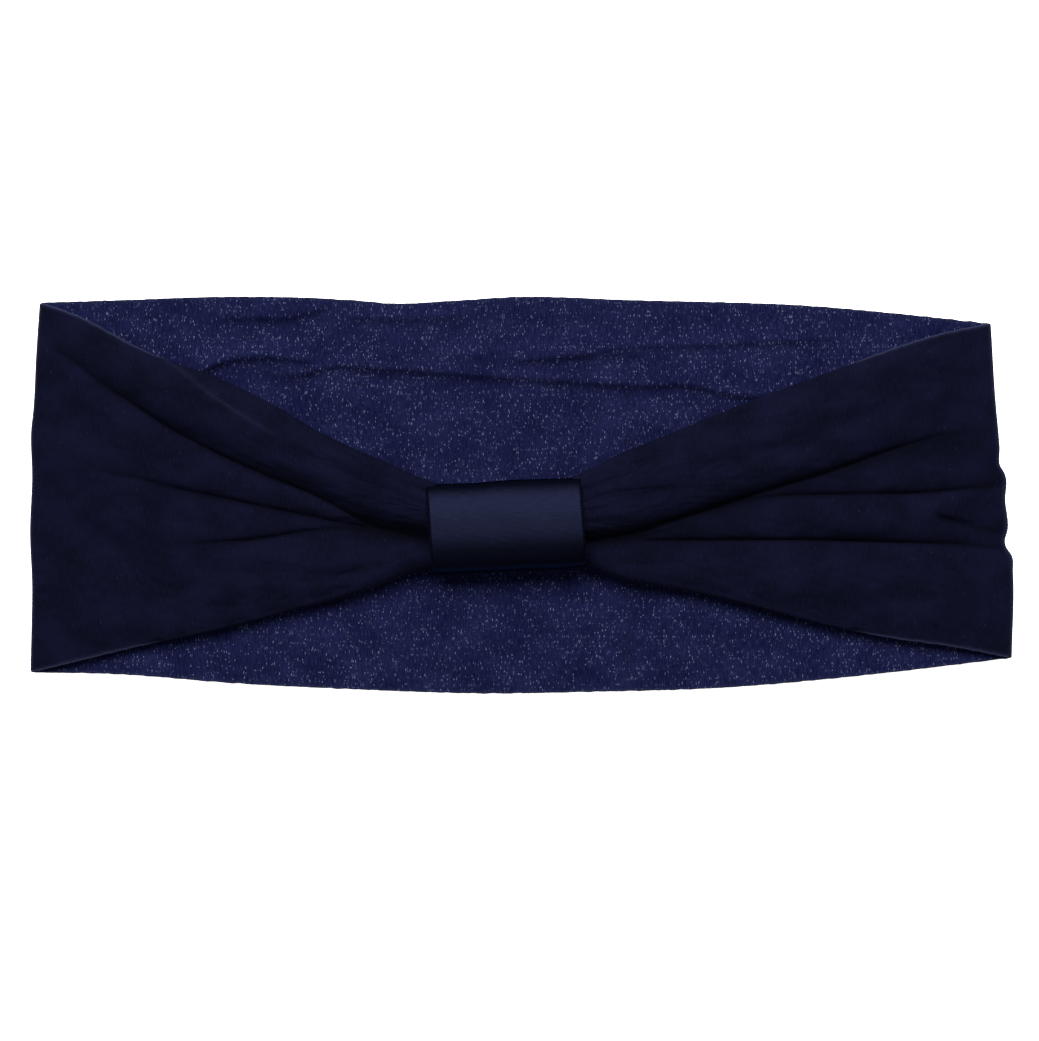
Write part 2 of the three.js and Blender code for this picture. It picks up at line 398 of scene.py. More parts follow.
@dataclass(frozen=True)
class FrontPanel:
    """The panel on top, right side up, gathered from both side folds into the ribbon."""

    middle: float = -3.6  # where the ribbon's middle is
    upper: Line = Line((
        (-121.8, 47.6), (-110.8, 43.9), (-96, 36.6), (-85.7, 32.2), (-78.3, 30), (-71.8, 27.3),
        (-60.1, 21.4), (-50.3, 15.6), (-42, 11.6), (-31, 6.9), (-25.6, 4.4), (-20.5, 2.6), (-4, 2.4),
        (10, 3.4), (14.7, 5.1), (23.6, 9.5), (34.3, 13.9), (52.4, 21.3), (73.8, 29.2), (92.9, 35.7),
        (106, 39.4), (121.8, 42.4)))
    lower: Line = Line((
        (-121.8, -43.8), (-108, -40.4), (-96.4, -37.6), (-71.8, -32.2), (-56.9, -28.3), (-45.5, -25.5),
        (-34.7, -22), (-26, -18.6), (-20, -17.4), (-4, -17.7), (11, -17), (16.2, -17.4), (24, -20.3),
        (41, -23.5), (52.4, -25.9), (65.6, -29.4), (90.5, -35), (106.1, -37.2), (121.8, -40.2)))
    crown: Line = Line(((0, 8.2), (16, 8.2), (26, 7.7), (38, 6.2), (60, 5.1), (80, 4.4), (100, 3),
                        (112, 1.3), (120.3, 0)))  # above the fold's top, by distance from the middle
    # how much lower the cloth is at its edges, by distance from the middle
    droop: Line = Line(((0, 0.6), (24, 1.6), (45, 3), (75, 2.8), (95, 1.9), (105, 1), (120.3, 0)))
    droop_reach: float = 5.0
    gathers_from: float = 88.0  # the distance from the ribbon's middle where gathering starts
    gathers_over: float = 62.0  # and how much nearer it is complete
    leans_from: float = 32.0  # likewise for the lean
    leans_over: float = 14.0
    centre_y: float = -7.6  # where the ribbon's middle is across the band
    flat_width: float = 62.0  # the cloth's width that its small waves are laid out on
    lean: float = -0.14  # the gathers' slope under the ribbon; below 0 they rise towards the lower edge
    deepest: float = 7.0  # the most that all the creases together press in
    creases: tuple[Crease, ...] = (
        # left of the ribbon, from the top down
        Crease(((-119, 37.5), (-110.6, 32.3), (-104.6, 27.3), (-97.4, 22.9), (-87.5, 16.6), (-78.3, 11.7),
                (-64.4, 5.2), (-50.4, -0.5), (-38, -7), (-29.8, -9.9), (-20, -12.3)), 5.0, 2.6, 5, 44,
               shadow_reach=(2.2, 0.5), fade=4),
        Crease(((-108, 6.4), (-97.4, 4.7), (-87.5, 2), (-78.3, 0), (-58.6, -4.1), (-42, -7.5),
                (-33.8, -9), (-20, -12)), 4.2, 2.4, 3.6, 44, slit=1.6, shadow_reach=(1.5, 0.8)),
        Crease(((-88, -12.4), (-78.3, -11.9), (-66.8, -11.2), (-50.4, -8.8), (-42, -8.4), (-20, -12)),
               2.4, 3, 3, 30, shadow_reach=(1.6, 0.8)),
        Crease(((-46, -6.5), (-36, -8.6), (-28, -10), (-10, -11.2)), 5.0, 1.5, 1.6, 16, slit=0.0,
               shadow_reach=(1.6, 1.2)),
        # right of it
        Crease(((-2, -11.8), (16.2, -11.4), (27.8, -9.4), (36, -7), (44.2, -4.2), (60.6, 1), (77.3, 6),
                (95.4, 11.8), (104.4, 14.3), (116, 17)), 4.0, 1.1, 5.5, 46, slit=1.7, outer=1,
               shadow_reach=(0.45, 2.6)),
        Crease(((30, -8), (44.2, -4.5), (56.7, -1.3), (64.9, -0.4), (81.3, 0), (101.9, 0.5), (110, 1.2),
                (122, 2.8)), 2.2, 3.6, 2.0, 40, start=0.4, outer=1, shadow_reach=(2.4, 0.45), fade=3.5),
        Crease(((-2, -12), (16.2, -11.6), (44.2, -11.3), (77.3, -11.4), (93.7, -11.9), (110, -12.4),
                (122.6, -13.4)), 3.6, 2.6, 1.8, 70, start=0.4, slit=1.6, outer=1, shadow_reach=(2.2, 0.4), fade=3.5),
        Crease(((101, -4.9), (106, -6.1), (112, -7.5), (122.2, -9.2)), 0.9, 2, 2, 12, start=0.9, outer=1,
               shadow_reach=(0.8, 1.1), fade=3.5),
        Crease(((-2, -11.4), (16.2, -11.6), (26, -10.6), (40, -8)), 3.6, 1.4, 1.5, 16, slit=0.0, outer=1,
               shadow_reach=(1.2, 0.9)),
    )
    # the raw edge that lies over the cloth's own roll, at the upper left
    hem: Points = ((-92, 34.6), (-86.5, 32), (-75, 23.6), (-66.8, 18.4), (-58, 13.4))
    hem_step: float = 0.6
    streaks: Ripple = Ripple(0.3, along=(22, 80), across=(7, 22), seed=21)
    crinkle: Ripple = Ripple(0.055, along=(5, 18), across=(1.8, 5), seed=22, count=44)

    def gathered(self, x: Array) -> Array:
        """Gives how far each x is on the way from a side fold, 0, to the ribbon, 1."""
        return smooth((self.gathers_from - np.abs(x - self.middle)) / self.gathers_over)

    def shade(self, x: Array, y: Array) -> Array:
        """Paints shade into the folds, where the light does not reach.

        Args:
            x: places along the band.
            y: places across it.

        Returns:
            How much painted shade the folds put on the cloth at each place, from 0 to 1.
        """
        lit = 1.0
        for crease in self.creases:
            lit = lit * (1.0 - 0.85 * crease.press(x, y)[1])
        return 1.0 - lit

    def leaning(self, x: Array, y: Array) -> Array:
        """Gives how far the gathers rise, near the ribbon, towards the lower edge."""
        near = smooth((self.leans_from - np.abs(x - self.middle)) / self.leans_over)
        return self.lean * (y - self.centre_y) * near

    def hem_side(self, x: Array, y: Array) -> tuple[Array, Array]:
        """Tells where the raw edge lies over the cloth's own roll, at the upper left.

        Args:
            x: places along the band.
            y: places across it.

        Returns:
            How far each place is above the raw edge, and how strongly that edge shows there.
        """
        line = Line(self.hem)
        away = (y - line(x)) / np.hypot(1.0, line.slope(x))
        first, last = line.ends
        shows = smooth((x - first) / 6.0) * smooth((last - x) / 12.0)
        return away, shows

    def height(self, x: Array, y: Array, lower: Array, upper: Array) -> Array:
        """Gives the cloth's height over the top of the side folds.

        Args:
            x: places along the band.
            y: places across it.
            lower: the front's lower outline at each x.
            upper: its upper outline.

        Returns:
            Heights of the middle of the cloth.
        """
        far = np.abs(x - self.middle)
        edge = np.minimum(y - lower, upper - y)
        height = self.crown(far) - self.droop(far) * np.exp(-edge / self.droop_reach) + self.leaning(x, y)
        pressed = sum(crease.press(x, y)[0] for crease in self.creases)
        height = height - self.deepest * (1.0 - np.exp(-pressed / self.deepest))
        flow = self.flat_width * (y - lower) / (upper - lower)
        fades = smooth((121.0 - np.abs(x)) / 16.0)
        height = height + fades * (self.streaks(x, flow) + self.crinkle(x, flow))
        away, shows = self.hem_side(x, y)
        return height - self.hem_step * shows * smooth(0.5 + away / 0.7)


@dataclass(frozen=True)
class Stretch:
    """A run of rows of the loop that bends across one joint."""

    name: str
    start: float  # distance round the loop
    end: float
    bodies: tuple[str, str]
    bend: tuple[tuple[float, float], tuple[float, float]]  # (x, z) where the bend starts and ends
    held: Held


@dataclass
class KnitLoop:
    """The one strip of jersey, sewn into a loop: back panel, side folds and gathered front."""

    back: BackPanel = field(default_factory=BackPanel)
    front: FrontPanel = field(default_factory=FrontPanel)
    thickness: float = 0.5
    reach: float = 121.8  # from the middle to the outside of a side fold
    turn: float = 1.25  # the radius that the middle of the cloth turns at a side fold
    cut: float = 50.1  # where the rows start, on the right of the back
    row_step: float = 0.8
    fold_room: float = 0.5  # how far the cloth may stray towards the middle of a side fold
    fold_from: float = 82.0  # the distance from the band's middle where that limit starts to hold
    fold_over: float = 14.0  # and how much further out it holds fully
    bow_from: float = 74.0  # where the side folds' own outline starts to show
    gap: float = 1.3  # the least distance between two layers' middles, in thicknesses
    rolls_from: float = 96.0  # the distance from the ribbon's middle where the edges start to roll
    rolls_over: float = 45.0  # and how much nearer they are fully rolled
    widest_roll: float = 3.3
    longest_flap: float = 13.0
    turn_rows: int = 20
    flap_columns: int = 26
    roll_columns: int = 10
    top_columns: int = 190
    strip_width: float = 98.0
    pleat_height: float = 1.15  # of the small pleats under the gathers
    pleat_pitch: float = 4.6
    raw_curl: float = 0.42
    back_curl: float = 0.03  # 1 rolls an edge right round, 0 leaves it flat
    corner_curl: float = 0.14
    fuzz_rim_light: float = 0.8  # how much painted rim light pales the outside of a side fold, where loose fibres catch the light
    left: Fold = Fold(-1, (
        (-43.8, 121.6), (-35.6, 121.4), (-22.3, 121.2), (-9, 121.7), (4.3, 121.2), (16.3, 121.4), (21, 120.9),
        (34.3, 120.2), (47.6, 119.3)))
    right: Fold = Fold(1, (
        (-40.2, 121.6), (-19, 121.9), (-15, 121.6), (-12.9, 120.2), (-11.1, 119.9), (-9, 120.5), (-1.4, 120),
        (5.6, 119.7), (6.9, 118.9), (11.9, 118.6), (23.1, 117.6), (42.4, 116.4)))
    ragged: Ripple = Ripple(0.055, along=(1.2, 7), across=(50, 90), seed=31, count=36)

    def __post_init__(self) -> None:
        """Works out where each row of the loop lies."""
        self.flat_end = self.reach - self.turn - self.thickness / 2
        self.back_z = self.thickness / 2
        self.front_z = self.back_z + 2 * self.turn
        self.room = 2 * self.turn  # between the two panels at the side folds
        self._lay_rows()
        self._lay_points()

    def _lay_rows(self) -> None:
        """Sets each row's nominal x, its way up the side fold, and its distance round the loop."""

        def flat(a: float, b: float) -> Array:
            """Gives evenly spaced rows from a, and not b itself."""
            count = round(abs(b - a) / self.row_step)
            return np.linspace(a, b, count, endpoint=False)

        end = self.flat_end
        turning = np.arange(self.turn_rows) / self.turn_rows
        runs = [
            (flat(self.cut, -end), 0.0), (np.full(self.turn_rows, -end), turning),
            (flat(-end, end), 1.0), (np.full(self.turn_rows, end), 1.0 - turning),
            (flat(end, self.cut), 0.0),
        ]
        self.x = np.concatenate([x for x, _ in runs])
        self.up = np.concatenate([np.broadcast_to(up, x.shape) for x, up in runs])
        arc = math.pi * self.turn * np.abs(np.roll(self.up, -1) - self.up)
        step = np.abs(np.roll(self.x, -1) - self.x) + arc
        self.distance = np.concatenate([[0.0], np.cumsum(step)[:-1]])
        self.length = float(step.sum())

    def _columns(self) -> tuple[Array, Array, Array]:
        """Gives the columns of a row: their way along the flaps, rolls and top.

        Returns:
            Ways along the flap, 0 at the roll and 1 at the raw edge; ways round the roll, from 0
            at the top to 1 underneath; and ways across the top, 0 at the lower roll.
        """
        flap = np.linspace(1, 0, self.flap_columns, endpoint=False)
        roll = np.linspace(1, 0, self.roll_columns, endpoint=False)
        top = np.linspace(0, 1, self.top_columns)
        return flap, roll, top

    def _outlines(self) -> tuple[Array, ...]:
        """Works out the width of each row and how its edges turn under.

        Returns:
            For each row: its lower and upper outline, the radii of its lower and upper rolled edges,
            the length of its flaps, how gathered it is, and how far round its edges are rolled.
        """
        x, on_front = self.x, smooth(self.up)
        gathered = self.front.gathered(x) * on_front
        ragged = [self.ragged(x, 100.0 * k + 300.0 * on_front) * (1 - gathered) for k in (0, 1)]
        lower = mix(self.back.lower(x), self.front.lower(x), on_front) + ragged[0]
        upper = mix(self.back.upper(x), self.front.upper(x), on_front) + ragged[1]
        crown = self.front.crown(np.abs(x - self.front.middle))
        droop = self.front.droop(np.abs(x - self.front.middle))
        flap_height = mix(-0.9, 1.6, smooth((30.0 - np.abs(x - self.front.middle)) / 10.0))

        def rolled_radius(y: Array) -> Array:
            """Gives the radius that the cloth turns under with, at an edge."""
            room = crown - droop + self.front.leaning(x, y) - flap_height
            return mix(self.raw_curl, np.clip(room / 2, self.raw_curl, self.widest_roll), gathered)

        roll_upper, roll_lower = rolled_radius(upper), rolled_radius(lower)
        room = upper - lower - roll_upper - roll_lower
        rolled = smooth((self.rolls_from - np.abs(x - self.front.middle)) / self.rolls_over) * on_front
        flap = mix(0.25, np.minimum(room - 1.0, self.longest_flap), rolled)
        curl = mix(mix(self.back_curl, self.corner_curl, on_front), 1.0, smooth(2.5 * rolled))
        return lower, upper, roll_lower, roll_upper, flap, gathered, curl

    def _lay_points(self) -> None:
        """Places every point of the middle of the cloth."""
        outlines = self._outlines()
        lower, upper, roll_lower, roll_upper, flap_length, gathered, curl = (a[:, None] for a in outlines)
        x, up = self.x[:, None], self.up[:, None]
        flap, roll, top = self._columns()
        stop = math.pi * (0.5 - curl)
        beyond = np.maximum(np.sin(stop), 0) * flap_length
        first = lower + roll_lower * np.cos(np.maximum(stop, 0)) + beyond
        last = upper - roll_upper * np.cos(np.maximum(stop, 0)) - beyond
        y_top = first + (last - first) * top
        lifted = self.back.lift(x, y_top)
        near_fold = smooth((np.abs(x) - self.fold_from) / self.fold_over)
        inside = mix(self.room - lifted - self.gap * self.thickness, self.fold_room, near_fold)
        on_front = self.front.height(x, y_top, lower, upper)
        on_front = np.logaddexp(0.0, 5 * (on_front + inside)) / 5 - inside
        highest = mix(3.0, self.fold_room, near_fold)
        h_top = on_front * smooth(3 * up - 2) - np.minimum(lifted, highest) * (1 - smooth(3 * up))

        def edge(h: Array, radius: Array, base: Array, way: float) -> tuple[Array, Array]:
            """Lays the flap and the roll of one edge.

            Args:
                h: the height of the top of the cloth, where it starts to turn.
                radius: the radius that it turns with.
                base: where the turn's middle is across the band.
                way: -1 for the lower edge, 1 for the upper one.

            Returns:
                Places across the band and heights, listed from the raw end.
            """
            angle = math.pi * (0.5 - roll * curl)
            last = math.pi * (0.5 - curl)
            y_roll = base + way * radius * np.cos(angle)
            h_roll = h - radius + radius * np.sin(angle)
            run = flap_length * flap
            y_flap = base + way * (radius * np.cos(last) + np.sin(last) * run)
            h_flap = h - radius + radius * np.sin(last) - np.cos(last) * run
            pleat = self.pleat_height * gathered * np.sin(2 * math.pi * run / self.pleat_pitch)
            above = self.front.height(x, y_flap, lower, upper) - self.gap * self.thickness
            below = self.back.lift(x, y_flap) - self.room + self.gap * self.thickness
            tucked = np.minimum(np.maximum(h_flap + pleat, below), np.maximum(above, below))
            h_flap = mix(h_flap, tucked, smooth(3 * curl - 2) * smooth(3 * up - 2))
            return np.hstack([y_flap, y_roll]), np.hstack([h_flap, h_roll])

        y_low, h_low = edge(h_top[:, :1], roll_lower, first, -1.0)
        y_high, h_high = edge(h_top[:, -1:], roll_upper, last, 1.0)
        y = np.hstack([y_low, y_top, y_high[:, ::-1]])
        h = np.hstack([h_low, h_top, h_high[:, ::-1]])
        self.y, self.h = y, h
        side = np.sign(x)
        angle = math.pi * up
        out = self.turn * np.sin(angle)
        base_z = self.back_z + self.turn * (1 - np.cos(angle))
        near = np.clip((np.abs(x) - self.bow_from) / (self.flat_end - self.bow_from), 0, 1)
        lean = np.where(side < 0, self.left.lean(y, self.reach), self.right.lean(y, self.reach)) * near
        px = x + side * (out + np.sin(angle) * h) + lean
        pz = base_z - np.cos(angle) * h
        self.points = np.stack([px, y, pz], axis=-1)
        self._fit_maps()

    def _fit_maps(self) -> None:
        """Works out the cloth's own coordinates, and its painted rim light and painted fold shade at each
        point.
        """
        step = np.linalg.norm(np.diff(self.points[..., 1:], axis=1), axis=-1)
        across = np.concatenate([np.zeros((len(self.x), 1)), np.cumsum(step, axis=1)], axis=1)
        middle = across[:, across.shape[1] // 2][:, None]
        self.across = across - middle
        lower, upper = self.across[:, :1], self.across[:, -1:]
        from_raw = np.minimum(self.across - lower, upper - self.across)
        # painted rim light where the raw edges catch the light
        self.rim_light = np.exp(-np.maximum(from_raw - 0.15, 0) / 0.18)
        away, shows = self.front.hem_side(self.x[:, None], self.y)
        on_front = smooth(2 * self.up[:, None] - 1)
        # and along the raw edge that lies over its own roll
        hem = 0.25 * shows * on_front * np.exp(-np.abs(away) / 0.3)
        gathered = self.front.gathered(self.x)[:, None] * on_front
        on_back = 0.35 * (1 - on_front)
        self.rim_light = np.maximum(self.rim_light * np.maximum(on_front * (1 - 0.8 * gathered), on_back), hem)
        # painted rim light on the outside of each side fold
        turning = (self.up > 0) & (self.up < 1)
        fuzz_rim_light = self.fuzz_rim_light * turning * np.exp(-((self.up - 0.6) / 0.2) ** 2)
        self.rim_light = np.maximum(self.rim_light, fuzz_rim_light[:, None])
        # painted shade of the creases, on the top of the front only
        flaps = self.flap_columns + self.roll_columns
        self.shade = self.front.shade(self.x[:, None], self.y) * on_front
        self.shade[:, :flaps] = 0.0
        self.shade[:, -flaps:] = 0.0

    def shell(self) -> tuple[Array, Array]:
        """Gives the cloth its thickness.

        Returns:
            For each row, a ring of points round the cloth: the right side, the rim at the upper
            raw edge, the wrong side, and the rim at the lower one; and the normals there.
        """
        normal = grid_normals(self.points, ring=False)
        half = self.thickness / 2
        right, wrong = self.points + normal * half, self.points - normal * half

        def rim(end: int, inside: int) -> Array:
            """Gives a rounded rim's outermost point."""
            return self.points[:, end] + unit(self.points[:, end] - self.points[:, inside]) * half * 0.9

        ring = np.concatenate([
            right, rim(-1, -2)[:, None], wrong[:, ::-1], rim(0, 1)[:, None]], axis=1)
        return ring, grid_normals(ring, ring=True)

    def stretches(self) -> list[Stretch]:
        """Divides the loop at the middle of each stiff body into runs that bend across one joint.

        Returns:
            The runs, from the right of the back panel round by the left side fold and the front.
        """
        inner, outer, split = 26.5, 73.75, self.front.middle  # where the bend lines and the ribbon are
        cut, far = self.cut, 97.4
        end, low, high = self.flat_end, self.back_z, self.front_z
        arc = math.pi * self.turn
        left = cut + end + arc  # the distance round the loop where the front starts
        right = left + 2 * end + arc  # and where the back starts again
        # how far before and after a bend line the cloth bends; short where it would dip below the table
        wide, tight, table = (21.0, 21.0), (21.0, 9.0), (23.0, 10.0)
        fold_height = 0.85  # how far from each panel a side fold starts to bend

        def on_back(name: str, a: float, b: float, bodies: tuple[str, str], at: float,
                    reach: tuple[float, float]) -> Stretch:
            """Makes a stretch of the back.

            Args:
                name: the piece's name.
                a: the x where it starts, at the right.
                b: the x where it ends.
                bodies: the bodies that it follows there.
                at: the x of the bend line.
                reach: how far before and after the bend line the cloth bends.

            Returns:
                The stretch.
            """
            start = cut - a if a <= cut else right + end - a
            length = self.length if b == cut and a > cut else start + a - b
            bend = ((at + reach[0], low), (at - reach[1], low))
            return Stretch(name, start, length, bodies, bend, Held.LAID)

        def on_front(name: str, a: float, b: float, bodies: tuple[str, str], at: float,
                     reach: tuple[float, float]) -> Stretch:
            """Makes a stretch of the front between two x, left to right."""
            bend = ((at - reach[0], high), (at + reach[1], high))
            return Stretch(name, left + end + a, left + end + b, bodies, bend, Held.GATHERED)

        def on_fold(name: str, a: float, b: float, bodies: tuple[str, str], up: bool) -> Stretch:
            """Makes a stretch round a side fold, which bends by height."""
            heights = (low + fold_height, high - fold_height)[::1 if up else -1]
            return Stretch(name, a, b, bodies, ((0.0, heights[0]), (0.0, heights[1])), Held.FOLDED)

        return [
            on_back("cloth_back_right", cut, 0.0, ("back_right_inner", "back_centre"), inner, table),
            on_back("cloth_back_left", 0.0, -cut, ("back_centre", "back_left_inner"), -inner, table[::-1]),
            on_back("cloth_back_far_left", -cut, -far, ("back_left_inner", "back_left_outer"), -outer, wide),
            on_fold("cloth_left_fold", cut + far, left + end - far,
                    ("back_left_outer", "front_left_outer"), True),
            on_front("cloth_front_far_left", -far, -cut,
                     ("front_left_outer", "front_left_inner"), -outer, wide),
            on_front("cloth_front_left", -cut, split, ("front_left_inner", "knot"), -inner, tight),
            on_front("cloth_front_right", split, cut, ("knot", "front_right_inner"), inner, tight[::-1]),
            on_front("cloth_front_far_right", cut, far,
                     ("front_right_inner", "front_right_outer"), outer, wide),
            on_fold("cloth_right_fold", left + end + far, right + end - far,
                    ("front_right_outer", "back_right_outer"), False),
            on_back("cloth_back_far_right", far, cut, ("back_right_outer", "back_right_middle"), outer, wide),
        ]

    def cloth(self, stretch: Stretch, ring: Array, normal: Array) -> bpy.types.Object:
        """Makes the mesh of one stretch of the loop.

        Args:
            stretch: the stretch to make.
            ring: the shell's points, for all rows.
            normal: their normals.

        Returns:
            A closed piece, with the right side in its first material slot and the wrong side,
            with the rims, in its second.
        """
        rows = self._rows_of(stretch)
        count, around, half = len(rows), ring.shape[1], self.points.shape[1]
        points, normals = ring[rows], normal[rows]
        walls = wall_faces(count, around)
        column = np.broadcast_to(np.arange(around)[None, :], (count - 1, around)).reshape(-1)
        caps = self._caps(count, around, half)
        faces = [*walls.tolist(), *caps]
        piece = make_mesh(stretch.name, points.reshape(-1, 3), faces)
        mesh = piece.data
        side = np.where(column < half - 1, Side.RIGHT.value, Side.WRONG.value)
        side = np.concatenate([side, np.full(len(caps), Side.WRONG.value)])
        mesh.polygons.foreach_set("material_index", side.astype(np.int32))
        shade_smooth(mesh)
        self._map(mesh, rows)
        corner = normals.reshape(-1, 3)[corner_points(mesh)]
        flat_from = 4 * len(walls)
        ends = np.zeros((len(mesh.polygons), 3))
        mesh.polygons.foreach_get("normal", ends.ravel())
        face_of = np.repeat(np.arange(len(faces)), [len(f) for f in faces])
        corner[flat_from:] = ends[face_of[flat_from:]]
        mesh.normals_split_custom_set(corner.tolist())
        return piece

    def _rows_of(self, stretch: Stretch) -> Array:
        """Finds the rows of a stretch.

        Args:
            stretch: the stretch.

        Returns:
            Their numbers, from the row nearest its start to the one nearest its end.
        """
        total = len(self.x)
        first = int(np.abs(self.distance - stretch.start).argmin())
        last = int(np.abs(np.append(self.distance, self.length) - stretch.end).argmin())
        return np.arange(first, last + 1) % total

    @staticmethod
    def _caps(count: int, around: int, half: int) -> list[list[int]]:
        """Closes the two ends of a stretch, between the right and the wrong side of the cloth.

        Args:
            count: rows in the stretch.
            around: points in a row of the shell.
            half: columns of the cloth.

        Returns:
            The point numbers of each closing face.
        """
        caps = []
        for row, outward in ((0, True), (count - 1, False)):
            base = row * around
            wrong = base + 2 * half  # column j has wrong - j on its wrong side
            quads = [[base + j, base + j + 1, wrong - j - 1, wrong - j] for j in range(half - 1)]
            quads += [[base + half - 1, base + half, wrong - half + 1], [base, wrong, base + around - 1]]
            caps += quads if outward else [quad[::-1] for quad in quads]
        return caps

    def _map(self, mesh: bpy.types.Mesh, rows: Array) -> None:
        """Gives a stretch its UV map, and its record of painted rim light on the edges and painted shade in
        the folds.

        Args:
            mesh: the stretch's mesh.
            rows: the loop's rows in it.
        """

        def ringed(values: Array) -> Array:
            """Gives values of the cloth's middle to the shell: right side, rim, wrong side, rim."""
            own = values[rows]
            return np.hstack([own, own[:, -1:], own[:, ::-1], own[:, :1]])

        v = ringed(self.across)
        u = self.distance[rows]
        u = np.broadcast_to((u + self.length * (u < u[0]))[:, None], v.shape)
        for name, values in (("raw_edge_rim_light", self.rim_light), ("fold_shade", self.shade)):
            attribute = mesh.attributes.new(name, "FLOAT", "POINT")
            attribute.data.foreach_set("value", ringed(values).reshape(-1).astype(np.float32))
        write_uv(mesh, u, v)


# Finishes


class Shader:
    """Adds and joins the nodes of one material."""

    def __init__(self, name: str) -> None:
        """Starts a material that holds a Principled shader.

        Args:
            name: the material's name.
        """
        self.material = bpy.data.materials.new(name)
        self.material.use_nodes = True
        self.tree = self.material.node_tree
        self.surface = self.tree.nodes["Principled BSDF"]

    def set(self, **values: float | tuple[float, ...]) -> None:
        """Sets the shader's own sockets, with _ for each space in their names."""
        for name, value in values.items():
            self.surface.inputs[name.replace("_", " ")].default_value = value

    def node(self, kind: str, **settings: object) -> bpy.types.Node:
        """Adds a node.

        Args:
            kind: the node's type, without its first words.
            settings: values of its properties, or of its inputs, with _ for each space.

        Returns:
            The new node.
        """
        node = self.tree.nodes.new("ShaderNode" + kind)
        for name, value in settings.items():
            if hasattr(node, name):
                setattr(node, name, value)
            else:
                node.inputs[name.replace("_", " ")].default_value = value
        return node

    def join(self, source: bpy.types.NodeSocket, target: bpy.types.NodeSocket) -> None:
        """Links an output to an input."""
        self.tree.links.new(source, target)

    def _give(self, socket: bpy.types.NodeSocket, value: object) -> None:
        """Joins an input to another socket, or sets it to a number or a colour."""
        if isinstance(value, bpy.types.NodeSocket):
            self.join(value, socket)
        else:
            socket.default_value = (*value, 1.0) if isinstance(value, tuple) else value

    def math(self, kind: str, a: object, b: object = 0.0, clamp: bool = False) -> bpy.types.NodeSocket:
        """Adds arithmetic.

        Args:
            kind: the operation.
            a: the first socket or number.
            b: the second.
            clamp: whether the result is kept from 0 to 1.

        Returns:
            The result.
        """
        node = self.node("Math", operation=kind, use_clamp=clamp)
        for socket, value in zip(node.inputs, (a, b)):
            self._give(socket, value)
        return node.outputs[0]

    def step(self, value: bpy.types.NodeSocket, low: float, high: float) -> bpy.types.NodeSocket:
        """Eases from 0 to 1.

        Args:
            value: what it follows.
            low: the value at which it is still 0.
            high: the value at which it is 1.

        Returns:
            The eased value.
        """
        node = self.node("MapRange", interpolation_type="SMOOTHSTEP", From_Min=low, From_Max=high)
        self.join(value, node.inputs["Value"])
        return node.outputs["Result"]

    def blend(self, amount: object, a: object, b: object) -> bpy.types.NodeSocket:
        """Mixes two colours.

        Args:
            amount: the share of b, a socket or a number.
            a: a colour, as a socket or a tuple.
            b: another.

        Returns:
            The mixed colour.
        """
        node = self.node("Mix", data_type="RGBA")
        for socket, value in zip((node.inputs[0], node.inputs[6], node.inputs[7]), (amount, a, b)):
            self._give(socket, value)
        return node.outputs[2]

    def cloth_millimetres(self, along: float, across: float, shift: float = 0.0) -> bpy.types.NodeSocket:
        """Gives the cloth's own coordinates.

        Args:
            along: the millimetres of cloth to one unit along it.
            across: and across it.
            shift: moves the pattern, so that two differ.

        Returns:
            The coordinates.
        """
        uv = self.node("UVMap", uv_map="UVMap")
        place = self.node("Mapping")
        place.inputs["Scale"].default_value = (UV_LENGTH / along, UV_LENGTH / across, 1.0)
        place.inputs["Location"].default_value = (shift, shift, 0.0)
        self.join(uv.outputs[0], place.inputs["Vector"])
        return place.outputs[0]

    def noise(self, place: bpy.types.NodeSocket, detail: float = 2.0) -> bpy.types.NodeSocket:
        """Gives smooth noise, whose cells are one unit wide.

        Args:
            place: coordinates.
            detail: how many finer layers it has.

        Returns:
            The noise, from 0 to 1.
        """
        node = self.node("TexNoise", Scale=1.0, Detail=detail)
        self.join(place, node.inputs["Vector"])
        return node.outputs[0]

    def bump(self, height: bpy.types.NodeSocket, distance: float, strength: float = 1.0) -> None:
        """Bends the shader's normals.

        Args:
            height: the relief.
            distance: the millimetres that it rises where it is 1.
            strength: how strongly it shows.
        """
        node = self.node("Bump", Strength=strength, Distance=distance * MM)
        self.join(height, node.inputs["Height"])
        self.join(node.outputs[0], self.surface.inputs["Normal"])


